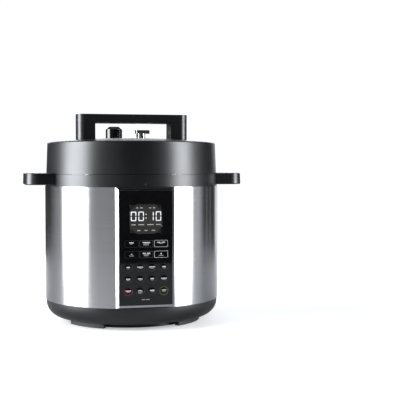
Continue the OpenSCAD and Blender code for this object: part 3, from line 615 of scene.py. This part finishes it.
# Sizes on the keys, in metres
FLANGE_ABOVE_FACE = 3 * MM  # how much taller a wide key's hidden flange is than its face
WIDE_MARGIN = 0.35 * MM
WIDE_LINE = 0.22 * MM
WIDE_CORNER = 0.9 * MM
SIGN_RISE = 0.9 * MM
SIGN_LENGTH = 2.4 * MM
SIGN_LINE = 0.55 * MM
ROUND_RADIUS = 6.5 * MM
ROUND_CROWN = 1.1 * MM
RING_INNER = ROUND_RADIUS - 0.62 * MM
RING_OUTER = ROUND_RADIUS - 0.3 * MM
# Height of the first row above the key's middle, pitch and height of the rows, in millimetres
WIDE_BRIGHT = (1.9, 0, 1.2)
WIDE_DIM = (0.1, 1.7, 1.0)
ROUND_BRIGHT = (1.5, 0, 1.25)
ROUND_DIM = (-0.4, 1.6, 0.9)
FASCIA_ROW = (-8.2, 1.1, ((-6.3, -1.2), (0.2, 5.4)))


def legend_outlines(x, z, rows, first, pitch, height):
    """Bars for rows of words: row i stands at first - i * pitch above the key's middle, in millimetres."""
    return mm_bars(x, z, [(-(first - i * pitch), height, spans) for i, spans in enumerate(rows) if spans])


def wide_key_prints(node, x, z, low, high):
    """Outline, bright marks and small marks of a rectangular key."""
    width = high.x - low.x - 2 * WIDE_MARGIN
    height = high.z - low.z - FLANGE_ABOVE_FACE - 2 * WIDE_MARGIN
    outline = frame_outlines(x, z, width, height, WIDE_LINE, WIDE_CORNER)
    rows = WIDE_LEGENDS[node]
    bright = legend_outlines(x, z, rows[:1], *WIDE_BRIGHT)
    if node in SIGN_KEYS:
        bright = [bar(x, z + SIGN_RISE, SIGN_LENGTH, SIGN_LINE)]
    if node == "key_plus":
        bright.append(bar(x, z + SIGN_RISE, SIGN_LINE, SIGN_LENGTH))
    return outline, bright, legend_outlines(x, z, rows[1:], *WIDE_DIM)


def round_key_prints(node, x, z):
    """Ring, bright marks and small marks of a round key."""
    rows = ROUND_LEGENDS[node]
    return (ring_segments(x, z, RING_INNER, RING_OUTER), legend_outlines(x, z, rows[:1], *ROUND_BRIGHT),
            legend_outlines(x, z, rows[1:], *ROUND_DIM))


def key_detail(node):
    """The printed outline and words on a key, which move with it."""
    x, front, z, low, high = middle(node)
    if node in WIDE_LEGENDS:
        face = flat(front)
        outline, bright, dim = wide_key_prints(node, x, z, low, high)
    else:

        def face(px, pz):
            """The key's domed face."""
            return front + ROUND_CROWN * min(((px - x) ** 2 + (pz - z) ** 2) / ROUND_RADIUS ** 2, 1.0)

        outline, bright, dim = round_key_prints(node, x, z)
    body = node + "_body"
    # On the rectangular keys the outline's ink carries the painted highlight of their raised edges.
    raised(node + "_outline", body, outline, face, INKS[OUTLINE_INKS_AND_HIGHLIGHTS.get(node, "ink_dim")])
    raised(node + "_marks", body, bright, face, INKS["glowing_white_ink"])
    raised(node + "_small_marks", body, dim, face, INKS["ink_pale"])


def fascia_mark():
    """A short row of generic bars low on the fascia."""
    x, front, _, low, _ = middle("control_fascia")
    row = mm_bars(x, low.z, [FASCIA_ROW])
    raised("fascia_mark", "housing", row, flat(front), INKS["ink_pale"])


display_detail()
fascia_mark()
for cad_node in (*WIDE_LEGENDS, *ROUND_LEGENDS):
    key_detail(cad_node)

# ---------------------------------------------------------------- studio

TABLE_RADIUS = 1.07  # the lower part of the glossy panel reflects the table up to its edge
ROUND_SIDES = 96
MIRRORED_RISE = 0.1 * MM  # keeps the table's mirrored copy clear of the table
BACKDROP_RADIUS = 9.0
BACKDROP_LOW = -2.0
BACKDROP_TOP = 8.0
BACKDROP_GLOW = 1.05


def link_stage(obj):
    SCENE.collection.objects.link(obj)


def circle(radius, height):
    return [around(360 * i / ROUND_SIDES, radius, height) for i in range(ROUND_SIDES)]


def table_top(name, height, tint, glow):
    """A round white disc, which also glows a little where glow is above 0."""
    mesh = bpy.data.meshes.new(name)
    mesh.from_pydata(circle(TABLE_RADIUS, height), [], [tuple(range(ROUND_SIDES))])
    n = Nodes(name + "_paint").put(roughness=0.6)
    soft = n.noise(3.0, 3.0)
    colour = n.blend(n.ramp(soft, 0.0, 1.0), tuple(0.96 * c for c in tint), tint)
    n.link(colour, n.shader.inputs["Base Color"])
    n.link(colour, n.shader.inputs["Emission Color"])
    n.shader.inputs["Emission Strength"].default_value = glow
    mesh.materials.append(n.material)
    return bpy.data.objects.new(name, mesh)


def make_floor():
    """A round white table. Mirror-like surfaces see a darker copy of it instead."""
    floor = table_top("floor", 0.0, (0.9, 0.9, 0.9), 0.4)
    floor.visible_glossy = False
    link_stage(floor)
    mirrored = table_top("floor_mirrored", MIRRORED_RISE, (0.46, 0.46, 0.475), 0.0)
    for ray in ("camera", "diffuse", "transmission", "shadow"):
        setattr(mirrored, "visible_" + ray, False)
    link_stage(mirrored)


def make_backdrop():
    """A white drum all round, closed at both ends, which only the camera sees."""
    sides = ROUND_SIDES
    verts = circle(BACKDROP_RADIUS, BACKDROP_LOW) + circle(BACKDROP_RADIUS, BACKDROP_TOP)
    faces = [(i, (i + 1) % sides, sides + (i + 1) % sides, sides + i) for i in range(sides)]
    faces += [tuple(range(sides)), tuple(range(sides, 2 * sides))]
    mesh = bpy.data.meshes.new("backdrop")
    mesh.from_pydata(verts, [], faces)
    material = bpy.data.materials.new("backdrop_white")
    material.use_nodes = True
    tree = material.node_tree
    tree.nodes.clear()
    glow = tree.nodes.new("ShaderNodeEmission")
    glow.inputs["Strength"].default_value = BACKDROP_GLOW
    tree.links.new(glow.outputs[0], tree.nodes.new("ShaderNodeOutputMaterial").inputs[0])
    mesh.materials.append(material)
    backdrop = bpy.data.objects.new("backdrop", mesh)
    for ray in ("diffuse", "glossy", "transmission", "shadow", "volume_scatter"):
        setattr(backdrop, "visible_" + ray, False)
    link_stage(backdrop)


# Softboxes all round at a great distance: radiance, then the azimuths in degrees from -Y towards +X between
# which it rises and between which it falls, then the same for its elevations.
SOFTBOXES = [
    (15.5, (-114, -100, -74, -66.5), (-14, -8, 32, 48)),
    (0.36, (-150, -112, -100, -90), (-14, -8, 32, 48)),
    (0.30, (-71, -69, -34, -14), (-14, -8, 35, 60)),
    (14.0, (48, 53, 70, 80), (-14, -8, 32, 48)),
    (0.55, (72, 78, 88, 104), (-14, -8, 32, 48)),
    (0.22, (108, 109, 110, 111), (-14, -8, 32, 48)),
    (0.22, (118, 119, 120, 121), (-14, -8, 32, 48)),
    (1.0, (132, 148, 150, 165), (-14, -8, 20, 40)),
    (3.0, (140, 155, 190, 200), (4, 8, 18, 36)),
    (3.0, (-200, -190, -168, -150), (4, 8, 18, 36)),
    (0.5, (-200, -190, 190, 200), (58, 72, 91, 92)),
]
AMBIENT = 0.045
SKY_TINT = (0.93, 0.96, 1.0, 1.0)


def make_world():
    """The softboxes as a procedural sky."""
    world = bpy.data.worlds.new("world")
    SCENE.world = world
    world.use_nodes = True
    tree = world.node_tree
    link = tree.links.new

    def math_node(operation, a, b=0.0):
        node = tree.nodes.new("ShaderNodeMath")
        node.operation = operation
        for socket, value in zip(node.inputs, (a, b)):
            if isinstance(value, (int, float)):
                socket.default_value = value
            else:
                link(value, socket)
        return node.outputs[0]

    def step(angle, start, end):
        node = tree.nodes.new("ShaderNodeMapRange")
        node.interpolation_type = "SMOOTHSTEP"
        node.inputs["From Min"].default_value = start
        node.inputs["From Max"].default_value = end
        link(angle, node.inputs["Value"])
        return node.outputs[0]

    def window(angle, rise0, rise1, fall0, fall1):
        rise = step(angle, rise0, rise1)
        return math_node("MULTIPLY", rise, math_node("SUBTRACT", 1.0, step(angle, fall0, fall1)))

    split = tree.nodes.new("ShaderNodeSeparateXYZ")
    link(tree.nodes.new("ShaderNodeTexCoord").outputs["Generated"], split.inputs[0])
    x, y, z = split.outputs
    azimuth = math_node("DEGREES", math_node("ARCTAN2", x, math_node("MULTIPLY", y, -1.0)))
    elevation = math_node("DEGREES", math_node("ARCSINE", z))
    total = None
    for radiance, across, up in SOFTBOXES:
        shape = math_node("MULTIPLY", window(azimuth, *across), window(elevation, *up))
        lit = math_node("MULTIPLY", shape, radiance)
        total = math_node("ADD", total, lit) if total is not None else math_node("ADD", lit, AMBIENT)
    background = tree.nodes["Background"]
    background.inputs["Color"].default_value = SKY_TINT
    link(total, background.inputs["Strength"])


SCENE.view_settings.view_transform = "Standard"
make_floor()
make_backdrop()
make_world()
